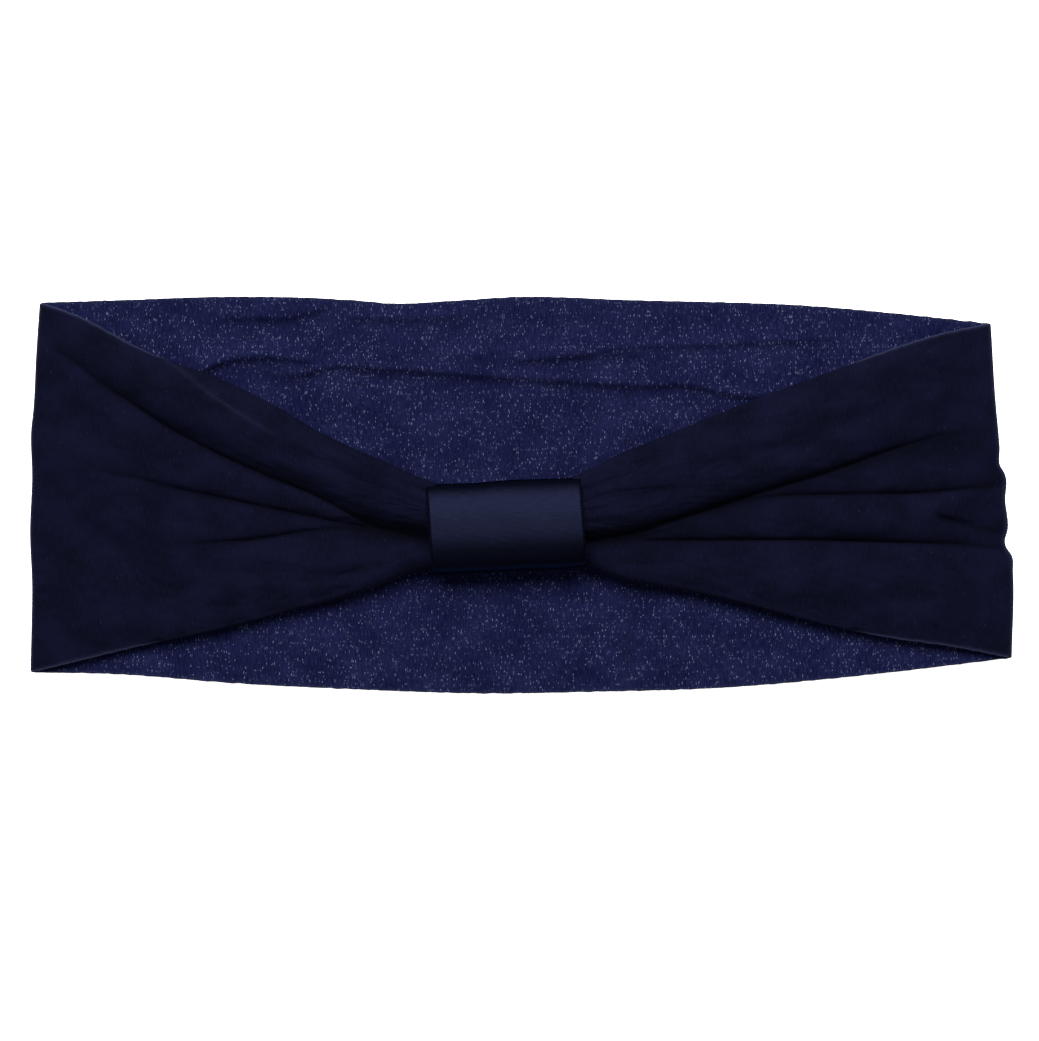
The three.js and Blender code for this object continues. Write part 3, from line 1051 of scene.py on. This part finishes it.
@dataclass(frozen=True)
class JerseyFinish:
    """One side of a fine navy jersey."""

    name: str
    colour: tuple[float, float, float]
    thread: tuple[float, float, float]  # the lighter colour of single threads
    # painted glint: light that shows through pinholes in the knit
    glint: tuple[float, float, float]
    rim: tuple[float, float, float]  # the painted rim light on a cut edge, and on the fuzz of a side fold
    streaks: float  # how strongly single wales show
    glint_share: float  # the share of places that may hold a painted glint
    mottle: float = 0.3  # how strongly the colour drifts from place to place
    wale: float = 0.72  # millimetres between ribs
    course: float = 0.55  # and between rows of loops
    relief: float = 0.05
    fold_shadow: tuple[float, float, float] = (0.0003, 0.0004, 0.001)  # the painted shadow inside a fold

    def material(self) -> bpy.types.Material:
        """Makes the finish's material.

        Returns:
            The new material.
        """
        shader = Shader(self.name)
        shader.set(Roughness=0.9, Specular_IOR_Level=0.02, Sheen_Weight=0.03, Sheen_Roughness=0.22,
                   Sheen_Tint=(0.3, 0.4, 1.0, 1.0))
        wales = shader.noise(shader.cloth_millimetres(0.34, 2.4), 3.0)
        cloud = shader.noise(shader.cloth_millimetres(11.0, 8.0, 3.0), 4.0)
        tone = shader.math("MULTIPLY", shader.step(wales, 0.36, 0.7), self.streaks)
        tone = shader.math("ADD", tone, shader.math("MULTIPLY", shader.step(cloud, 0.3, 0.75), self.mottle))
        colour = shader.blend(tone, self.colour, self.thread)
        # painted glints: light that shows through pinholes in the knit, as short pale dashes
        for size, share, shift in (((0.32, 1.3), 1.0, 7.0), ((0.38, 0.8), 0.9, 31.0)):
            mask = self._glint_mask(shader, cloud, size, share * self.glint_share, shift)
            colour = shader.blend(mask, colour, self.glint)
        # painted rim light on the cut edges and the side folds
        raw = shader.node("Attribute", attribute_name="raw_edge_rim_light")
        rim = shader.math("MULTIPLY", raw.outputs["Fac"], 0.8, clamp=True)
        colour = shader.blend(rim, colour, self.rim)
        # painted shade inside the creases of the front
        fold = shader.node("Attribute", attribute_name="fold_shade")
        fold_shadow = shader.math("MULTIPLY", fold.outputs["Fac"], 0.8, clamp=True)
        colour = shader.blend(fold_shadow, colour, self.fold_shadow)
        shader.join(colour, shader.surface.inputs["Base Color"])
        shader.bump(self._loops(shader, wales), self.relief, 0.8)
        return shader.material

    def _glint_mask(self, shader: Shader, cloud: bpy.types.NodeSocket, size: tuple[float, float],
                    share: float, shift: float) -> bpy.types.NodeSocket:
        """Picks short dashes along the wales, painted glints of light through the knit, more of them where
        the cloud is thick.

        Args:
            shader: the material.
            cloud: noise that says where the dashes crowd.
            size: the room that each dash has along and across the band, in millimetres.
            share: the largest share of places that hold a dash.
            shift: moves the pattern, so that two differ.

        Returns:
            How strongly a painted glint shows at each place.
        """
        cells = shader.node("TexVoronoi", Scale=1.0, Randomness=1.0)
        shader.join(shader.cloth_millimetres(*size, shift), cells.inputs["Vector"])
        near = shader.math("SUBTRACT", 1.0, shader.step(cells.outputs["Distance"], 0.12, 0.36))
        split = shader.node("SeparateColor")
        shader.join(cells.outputs["Color"], split.inputs[0])
        limit = shader.math("SUBTRACT", 1.0, shader.math("MULTIPLY", shader.step(cloud, 0.1, 0.62), share))
        picked = shader.math("GREATER_THAN", split.outputs[0], limit)
        strength = shader.math("POWER", split.outputs[1], 2.2)
        return shader.math("MULTIPLY", shader.math("MULTIPLY", near, picked), strength)

    def _loops(self, shader: Shader, wales: bpy.types.NodeSocket) -> bpy.types.NodeSocket:
        """Gives the relief of the knit: ribs a wale apart, notched at each course.

        Args:
            shader: the material.
            wales: noise that makes the ribs uneven.

        Returns:
            The relief.
        """
        split = shader.node("SeparateXYZ")
        shader.join(shader.cloth_millimetres(1.0, 1.0), split.inputs[0])
        turn = 2 * math.pi
        rib = shader.math("SINE", shader.math("MULTIPLY", split.outputs[0], turn / self.wale))
        notch = shader.math("SINE", shader.math("MULTIPLY", split.outputs[1], turn / self.course))
        knit = shader.math("ADD", shader.math("MULTIPLY", rib, 0.5), shader.math("MULTIPLY", notch, 0.25))
        return shader.math("ADD", knit, wales)


@dataclass(frozen=True)
class SatinFinish:
    """Navy satin ribbon, with its weft floats running across the shine."""

    name: str = "navy_satin"
    colour: tuple[float, float, float] = (0.0017, 0.0021, 0.0053)
    light: tuple[float, float, float] = (0.0024, 0.0029, 0.0073)
    grazing: tuple[float, float, float] = (0.4, 0.45, 0.66)  # the tint of its shine seen from low down

    def material(self) -> bpy.types.Material:
        """Makes the finish's material.

        Returns:
            The new material.
        """
        shader = Shader(self.name)
        shader.set(Metallic=1.0, Roughness=0.42, Specular_Tint=(*self.grazing, 1.0))
        floats = shader.noise(shader.cloth_millimetres(2.2, 0.22), 2.0)
        colour = shader.blend(shader.step(floats, 0.3, 0.7), self.colour, self.light)
        shader.join(colour, shader.surface.inputs["Base Color"])
        split = shader.node("SeparateXYZ")
        shader.join(shader.cloth_millimetres(1.0, 1.0), split.inputs[0])
        weft = shader.math("SINE", shader.math("MULTIPLY", split.outputs[1], 2 * math.pi / 0.3))
        height = shader.math("ADD", floats, shader.math("MULTIPLY", weft, 0.3))
        shader.bump(height, 0.02, 0.5)
        return shader.material


@dataclass(frozen=True)
class ThreadFinish:
    """Spun sewing thread, with its twist."""

    name: str
    colour: tuple[float, float, float]
    light: tuple[float, float, float]
    twist: float = 0.35  # millimetres between its turns

    def material(self) -> bpy.types.Material:
        """Makes the finish's material.

        Returns:
            The new material.
        """
        shader = Shader(self.name)
        shader.set(Roughness=0.7, Specular_IOR_Level=0.1)
        place = shader.node("TexCoord")
        scale = 0.314 / (self.twist * MM)
        wave = shader.node("TexWave", bands_direction="DIAGONAL", Scale=scale, Distortion=1.5)
        shader.join(place.outputs["Object"], wave.inputs["Vector"])
        colour = shader.blend(wave.outputs[1], self.colour, self.light)
        shader.join(colour, shader.surface.inputs["Base Color"])
        shader.bump(wave.outputs[1], 0.05)
        return shader.material


# What repeats along a line


class RepeatTree:
    """Geometry Nodes that set one bead after another along a curve."""

    def __init__(self, name: str) -> None:
        """Builds the tree.

        Args:
            name: the tree's name.
        """
        self.tree = bpy.data.node_groups.new(name, "GeometryNodeTree")
        self.sockets: dict[str, str] = {}
        self._input("Geometry", "NodeSocketGeometry")
        for label in ("Spacing", "Length", "Radius", "Jitter"):
            self._input(label, "NodeSocketFloat")
        self._input("Material", "NodeSocketMaterial")
        self.tree.interface.new_socket("Geometry", in_out="OUTPUT", socket_type="NodeSocketGeometry")
        self._lay()

    def _input(self, label: str, kind: str) -> None:
        """Adds a named input and remembers its identifier."""
        item = self.tree.interface.new_socket(label, in_out="INPUT", socket_type=kind)
        self.sockets[label] = item.identifier

    def _lay(self) -> None:
        """Adds the nodes: beads on a resampled curve, turned along it, a little uneven in size."""
        new, link = self.tree.nodes.new, self.tree.links.new
        given, out = new("NodeGroupInput"), new("NodeGroupOutput")
        points = new("GeometryNodeResampleCurve")
        points.mode = "LENGTH"
        tangent, turn = new("GeometryNodeInputTangent"), new("FunctionNodeAlignRotationToVector")
        turn.axis = "X"
        bead, size = new("GeometryNodeMeshUVSphere"), new("ShaderNodeCombineXYZ")
        bead.inputs["Segments"].default_value, bead.inputs["Rings"].default_value = 8, 6
        bead.inputs["Radius"].default_value = 1.0
        uneven, low = new("FunctionNodeRandomValue"), new("ShaderNodeMath")
        uneven.inputs["Max"].default_value = 1.0
        uneven.inputs["Seed"].default_value = 5
        low.operation, low.inputs[0].default_value = "SUBTRACT", 1.0
        scale, place = new("ShaderNodeVectorMath"), new("GeometryNodeInstanceOnPoints")
        scale.operation = "SCALE"
        real, dress = new("GeometryNodeRealizeInstances"), new("GeometryNodeSetMaterial")
        link(given.outputs["Geometry"], points.inputs["Curve"])
        link(given.outputs["Spacing"], points.inputs["Length"])
        link(tangent.outputs[0], turn.inputs["Vector"])
        link(given.outputs["Length"], size.inputs["X"])
        link(given.outputs["Radius"], size.inputs["Y"])
        link(given.outputs["Radius"], size.inputs["Z"])
        link(given.outputs["Jitter"], low.inputs[1])
        link(low.outputs[0], uneven.inputs["Min"])
        link(size.outputs[0], scale.inputs[0])
        link(uneven.outputs["Value"], scale.inputs["Scale"])
        link(points.outputs["Curve"], place.inputs["Points"])
        link(bead.outputs["Mesh"], place.inputs["Instance"])
        link(turn.outputs[0], place.inputs["Rotation"])
        link(scale.outputs[0], place.inputs["Scale"])
        link(place.outputs[0], real.inputs[0])
        link(real.outputs[0], dress.inputs["Geometry"])
        link(given.outputs["Material"], dress.inputs["Material"])
        link(dress.outputs[0], out.inputs["Geometry"])


@dataclass(frozen=True)
class Beads:
    """A line of beads: stitches seen from outside, or the bumps of a selvedge. In millimetres."""

    spacing: float
    length: float
    radius: float
    jitter: float = 0.15

    def along(self, name: str, lines: Sequence[Array], finish: bpy.types.Material,
              tree: RepeatTree) -> bpy.types.Object:
        """Lays the beads along lines.

        Args:
            name: the new piece's name.
            lines: points of each line, in millimetres.
            finish: what the beads are made of.
            tree: the nodes that lay them.

        Returns:
            A piece that is one plain mesh, with smooth faces.
        """
        guide = make_curve(name + "_guide", lines)
        modifier = guide.modifiers.new("beads", "NODES")
        modifier.node_group = tree.tree
        values = {"Spacing": self.spacing, "Length": self.length / 2, "Radius": self.radius}
        for label, value in values.items():
            modifier[tree.sockets[label]] = value * MM
        modifier[tree.sockets["Jitter"]] = self.jitter
        modifier[tree.sockets["Material"]] = finish
        return to_mesh(guide, name)


def make_curve(name: str, lines: Sequence[Array], radius: float = 0.0) -> bpy.types.Object:
    """Makes a curve of straight runs through points in millimetres.

    Args:
        name: the object's name.
        lines: points of each run.
        radius: half the thickness of a round section, or 0 for a bare line.

    Returns:
        The curve's object.
    """
    curve = bpy.data.curves.new(name, "CURVE")
    curve.dimensions = "3D"
    curve.bevel_depth, curve.bevel_resolution, curve.use_fill_caps = radius * MM, 2, True
    for line in lines:
        spline = curve.splines.new("POLY")
        spline.points.add(len(line) - 1)
        flat = np.hstack([np.asarray(line) * MM, np.ones((len(line), 1))])
        spline.points.foreach_set("co", flat.reshape(-1))
    guide = bpy.data.objects.new(name, curve)
    bpy.context.scene.collection.objects.link(guide)
    return guide


def to_mesh(source: bpy.types.Object, name: str) -> bpy.types.Object:
    """Turns an object, as its modifiers leave it, into a plain mesh, and removes the object.

    Args:
        source: a curve or mesh object.
        name: the new piece's name.

    Returns:
        The new piece.
    """
    bpy.context.view_layer.update()
    evaluated = source.evaluated_get(bpy.context.evaluated_depsgraph_get())
    mesh = bpy.data.meshes.new_from_object(evaluated)
    mesh.name = name
    shade_smooth(mesh)
    bpy.data.objects.remove(source)
    piece = bpy.data.objects.new(name, mesh)
    bpy.context.scene.collection.objects.link(piece)
    return piece


# The ribbon and the threads


@dataclass
class RibbonWrap:
    """The satin ribbon that is wrapped round the gathers, with its end tacked underneath."""

    width: float = 38.0
    thickness: float = 0.32
    middle: tuple[float, float, float] = (-3.6, -7.6, 7.4)
    half_y: float = 11.1
    half_z: float = 4.75
    power: float = 2.5  # 2 is an ellipse, more is squarer
    turned: float = 4.3  # degrees that the wrap leans on the band
    begins: float = 250.0  # degrees round the loop, from the upper edge over the front
    ends: float = 650.0
    lift: float = 0.55  # how much further out the second layer lies
    slope: float = -0.14  # of the top; below 0 it rises towards the lower edge, as the gathers do
    edge_curl: float = 0.25  # how far its edges turn in
    waist: float = 0.5  # how far its upper side is drawn in, a little left of its middle
    steps: int = 170
    columns: int = 48
    waves: Ripple = Ripple(0.13, along=(12, 40), across=(12, 40), seed=41)

    def surface(self, across: Array, angle: Array, out: Array | float = 0.0) -> Array:
        """Places points on the ribbon's middle surface.

        Args:
            across: places across the ribbon's width, from its middle.
            angle: degrees round the loop.
            out: how far to move away from the loop.

        Returns:
            The points, in the frame of the part.
        """
        a = np.radians(angle)
        c, s = np.cos(a), np.sin(a)
        r = (np.abs(c) ** self.power + np.abs(s) ** self.power) ** (-1 / self.power)
        later = smooth((angle - (self.begins + 310)) / 50.0) * self.lift
        edge = np.abs(across) / (self.width / 2)
        grow = out + later + self.waves(across, angle / 9.0) * 0.6 - self.edge_curl * edge ** 4
        dip = self.waist * np.exp(-((across + 6.5) / 6.0) ** 2) * np.maximum(c, 0) ** 2
        y = (self.half_y + grow - dip) * r * c
        z = (self.half_z + grow) * r * s + self.slope * y * np.maximum(s, 0)
        turned = math.radians(self.turned)
        x0, y0, z0 = self.middle
        return np.stack(np.broadcast_arrays(
            x0 + across * math.cos(turned) - y * math.sin(turned),
            y0 + across * math.sin(turned) * 0.6 + y * math.cos(turned),
            z0 + z + 0 * across), axis=-1)

    def strip(self) -> bpy.types.Object:
        """Makes the ribbon itself.

        Returns:
            A closed strip, with its own UV map.
        """
        across = np.linspace(-self.width / 2, self.width / 2, self.columns)[None, :]
        angle = np.linspace(self.begins, self.ends, self.steps)[:, None]
        middle = self.surface(across, angle)
        normal = unit(np.cross(np.gradient(middle, axis=1), np.gradient(middle, axis=0)))
        half = self.thickness / 2
        ring = np.concatenate([middle + normal * half, (middle - normal * half)[:, ::-1]], axis=1)
        rows, around = ring.shape[:2]
        walls = wall_faces(rows, around)[:, [0, 3, 2, 1]]  # turned, to face out
        last = (rows - 1) * around
        ends = []
        for j in range(self.columns - 1):
            near, far = around - 1 - j, around - 2 - j
            ends.append([j, near, far, j + 1])
            ends.append([last + j, last + j + 1, last + far, last + near])
        piece = make_mesh("ribbon", ring.reshape(-1, 3), [*walls.tolist(), *ends])
        shade_smooth(piece.data)
        run = np.linalg.norm(np.diff(middle[:, self.columns // 2], axis=0), axis=1)
        along = np.broadcast_to(np.concatenate([[0.0], np.cumsum(run)])[:, None], (rows, around))
        over = np.concatenate([across[0], across[0, ::-1]])[None, :] + np.zeros((rows, 1))
        write_uv(piece.data, over, along)
        self.length = float(run.sum())
        return piece

    def edge_lines(self, inset: float = 0.15) -> list[Array]:
        """Gives a line along each selvedge, on the outside of the ribbon.

        Args:
            inset: how far the lines are from the ribbon's edges.

        Returns:
            The points of the two lines.
        """
        angle = np.linspace(self.begins, self.ends, 3 * self.steps)
        reach = self.width / 2 - inset
        return [self.surface(np.full_like(angle, side * reach), angle, 0.05) for side in (-1, 1)]

    def tack_lines(self, offset: float, length: float, strands: int = 3) -> list[Array]:
        """Gives the strands of a tack that holds the free end down.

        Args:
            offset: how far the tack is from the ribbon's middle.
            length: how long each strand is.
            strands: how many strands lie side by side.

        Returns:
            A line for each strand, from the free end onto the layer under it.
        """
        reach = math.degrees(length / 2 / self.half_y)
        angle = np.linspace(self.ends - 360 - reach, self.ends - 360 + reach, 12)
        bow = np.linspace(-1, 1, 12) ** 2
        out = mix(self.lift + self.thickness / 2 + 0.12, 0.3, smooth((angle - self.ends + 360) / reach + 0.5))
        places = offset + 0.35 * (np.arange(strands) - (strands - 1) / 2)
        return [self.surface(x + 0 * bow, angle, out - 0.1 * bow) for x in places]


@dataclass
class GatherThread:
    """The thread wound round the bunched front, under the ribbon."""

    turns: int = 3
    pitch: float = 0.95
    radius: float = 0.28
    half_y: float = 9.6
    half_z: float = 3.9
    steps: int = 144

    def line(self, wrap: RibbonWrap) -> Array:
        """Winds the thread.

        Args:
            wrap: the ribbon that it lies inside.

        Returns:
            Points along the winding.
        """
        t = np.linspace(0, 1, self.steps)
        angle = 2 * math.pi * self.turns * t
        x0, y0, z0 = wrap.middle
        along = self.pitch * self.turns * (t - 0.5)
        return np.stack([x0 + along, y0 + self.half_y * np.cos(angle), z0 + self.half_z * np.sin(angle)], -1)


@dataclass
class SeamThread:
    """The flat zigzag that joins the strip's two ends, on the wrong side of the back panel."""

    at: float = 26.5
    swing: float = 0.55
    pitch: float = 1.3
    radius: float = 0.11
    inset: float = 1.5

    def line(self, back: BackPanel) -> Array:
        """Sews the zigzag.

        Args:
            back: the panel that it lies on.

        Returns:
            Its corners.
        """
        low = float(back.lower(np.array(self.at))) + self.inset
        high = float(back.upper(np.array(self.at))) - self.inset
        y = np.arange(low, high, self.pitch)
        x = self.at + self.swing * np.where(np.arange(len(y)) % 2, 1, -1)
        z = 0.5 + back.lift(x, y) + self.radius * 0.6
        return np.stack([x, y, z], -1)


# The studio


@dataclass(frozen=True)
class Studio:
    """A white table, soft light from beyond the upper edge, and a camera straight above."""

    view_width: float = 258.0
    aim: tuple[float, float] = (-0.4, -6.3)
    lens: float = 100.0
    floor_drop: float = 0.3  # keeps the table clear of the cloth where an open loop dips

    def table(self) -> None:
        """Lays the table."""
        bpy.ops.mesh.primitive_plane_add(size=60, location=(0, 0, -self.floor_drop * MM))
        floor = bpy.context.object
        floor.name = "table"
        shader = Shader("white_table")
        shader.set(Base_Color=(0.93, 0.93, 0.93, 1), Roughness=0.9, Specular_IOR_Level=0.1)
        shader.set(Emission_Color=(1, 1, 1, 1), Emission_Strength=0.9)
        floor.data.materials.append(shader.material)

    def light(self, name: str, place: tuple[float, float, float], size: tuple[float, float],
              power: float) -> None:
        """Hangs one soft light that faces the band.

        Args:
            name: the light's name.
            place: where it hangs, in metres.
            size: its width and depth, in metres.
            power: its power, in watts.
        """
        lamp = bpy.data.lights.new(name, "AREA")
        lamp.shape, lamp.size, lamp.size_y, lamp.energy = "RECTANGLE", *size, power
        holder = bpy.data.objects.new(name, lamp)
        holder.location = place
        holder.rotation_euler = (-Vector(place)).to_track_quat("-Z", "Y").to_euler()
        bpy.context.scene.collection.objects.link(holder)

    def set_up(self) -> None:
        """Sets up the table, the lights and the camera."""
        scene = bpy.context.scene
        scene.view_settings.view_transform = "Standard"
        self.table()
        self.light("window", (0.0, 0.62, 1.08), (1.6, 0.6), 50.0)
        self.light("fill", (-0.3, -0.5, 0.9), (1.0, 1.0), 3.0)
        world = bpy.data.worlds.new("studio")
        world.use_nodes = True
        world.node_tree.nodes["Background"].inputs["Color"].default_value = (1, 1, 1, 1)
        world.node_tree.nodes["Background"].inputs["Strength"].default_value = 0.2
        scene.world = world
        camera = bpy.data.cameras.new("camera")
        camera.lens = self.lens
        camera.sensor_fit, camera.sensor_width = "HORIZONTAL", 36.0
        camera.clip_start, camera.clip_end = 0.01, 20.0
        holder = bpy.data.objects.new("camera", camera)
        distance = self.view_width * self.lens / camera.sensor_width
        holder.location = (self.aim[0] * MM, self.aim[1] * MM, distance * MM)
        scene.collection.objects.link(holder)
        scene.camera = holder


# The whole band


@dataclass
class Headband:
    """The band and everything on it."""

    loop: KnitLoop = field(default_factory=KnitLoop)
    wrap: RibbonWrap = field(default_factory=RibbonWrap)
    winding: GatherThread = field(default_factory=GatherThread)
    seam: SeamThread = field(default_factory=SeamThread)
    # each side's colours: the cloth, its lighter threads, a painted glint of light through the knit, and
    # painted rim light on edges
    right_side: JerseyFinish = JerseyFinish(
        "jersey_right_side", (0.001, 0.0012, 0.0042), (0.0028, 0.0031, 0.0122), (0.008, 0.01, 0.024),
        (0.014, 0.016, 0.036), streaks=0.3, glint_share=0.04, mottle=0.55)
    wrong_side: JerseyFinish = JerseyFinish(
        "jersey_wrong_side", (0.0016, 0.0021, 0.013), (0.0068, 0.0084, 0.033), (0.078, 0.086, 0.15),
        (0.014, 0.016, 0.036), streaks=0.5, glint_share=0.6, mottle=0.34)
    satin: SatinFinish = SatinFinish()
    thread: ThreadFinish = ThreadFinish("navy_thread", (0.0025, 0.003, 0.014), (0.005, 0.006, 0.026))
    selvedge: Beads = Beads(spacing=0.75, length=0.85, radius=0.2)
    replaced: dict[str, tuple[str, ...]] = field(default_factory=lambda: {
        "cloth_back_right": ("band_back_centre", "band_back_right_inner"),
        "cloth_back_left": ("band_back_left_inner",),
        "cloth_back_far_left": ("band_back_left_outer",),
        "cloth_front_far_left": ("band_front_left_outer",),
        "cloth_front_left": ("band_front_left_inner", "gathered_core"),
        "cloth_front_right": ("band_front_right_inner",),
        "cloth_front_far_right": ("band_front_right_outer",),
        "cloth_back_far_right": ("band_back_right_middle", "band_back_right_outer"),
    })

    def build(self) -> None:
        """Builds every piece."""
        self.tree = RepeatTree("beads_along_a_line")
        self.finishes = [self.right_side.material(), self.wrong_side.material()]
        self.thread_finish = self.thread.material()
        self._build_cloth()
        self._build_ribbon()
        self._build_threads()

    def _build_cloth(self) -> None:
        """Builds the loop, one piece for each joint that it bends across."""
        ring, normal = self.loop.shell()
        for stretch in self.loop.stretches():
            piece = self.loop.cloth(stretch, ring, normal)
            for finish in self.finishes:
                piece.data.materials.append(finish)
            self._bend(piece, stretch)
            if stretch.name in self.replaced:
                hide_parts(*self.replaced[stretch.name])
            log.info("%s: %d faces", piece.name, len(piece.data.polygons))

    @staticmethod
    def _bend(piece: bpy.types.Object, stretch: Stretch) -> None:
        """Bakes a piece's placing into its mesh."""
        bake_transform(piece)

    def _build_ribbon(self) -> None:
        """Builds the ribbon and its selvedges."""
        finish = self.satin.material()
        ribbon = self.wrap.strip()
        ribbon.data.materials.append(finish)
        edges = self.selvedge.along("ribbon_selvedges", self.wrap.edge_lines(), finish, self.tree)
        for piece in (ribbon, edges):
            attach(piece, "knot")
            log.info("%s: %d faces", piece.name, len(piece.data.polygons))
        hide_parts("ribbon_wrap")

    def _build_threads(self) -> None:
        """Builds the gathering thread, the seam's zigzag and the ribbon's tacks."""
        lines = {
            "gathering_winding": ([self.winding.line(self.wrap)], self.winding.radius, "gathering_thread"),
            "ribbon_tack_stitches_left": (self.wrap.tack_lines(-11, 4), 0.13, "ribbon_tack_left"),
            "ribbon_tack_stitches_right": (self.wrap.tack_lines(11, 4), 0.13, "ribbon_tack_right"),
            "seam_zigzag": ([self.seam.line(self.loop.back)], self.seam.radius, "band_seam_thread"),
        }
        for name, (points, radius, node) in lines.items():
            piece = to_mesh(make_curve(name, points, radius), name)
            piece.data.materials.clear()
            piece.data.materials.append(self.thread_finish)
            if name == "seam_zigzag":
                self._bend(piece, self.loop.stretches()[0])
            else:
                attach(piece, "knot")
            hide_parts(node)
            log.info("%s: %d faces", name, len(piece.data.polygons))


def main() -> None:
    """Builds the studio and the band."""
    logging.basicConfig(level=logging.INFO, format="%(message)s")
    Studio().set_up()
    Headband().build()


if __name__ == "__main__":
    main()
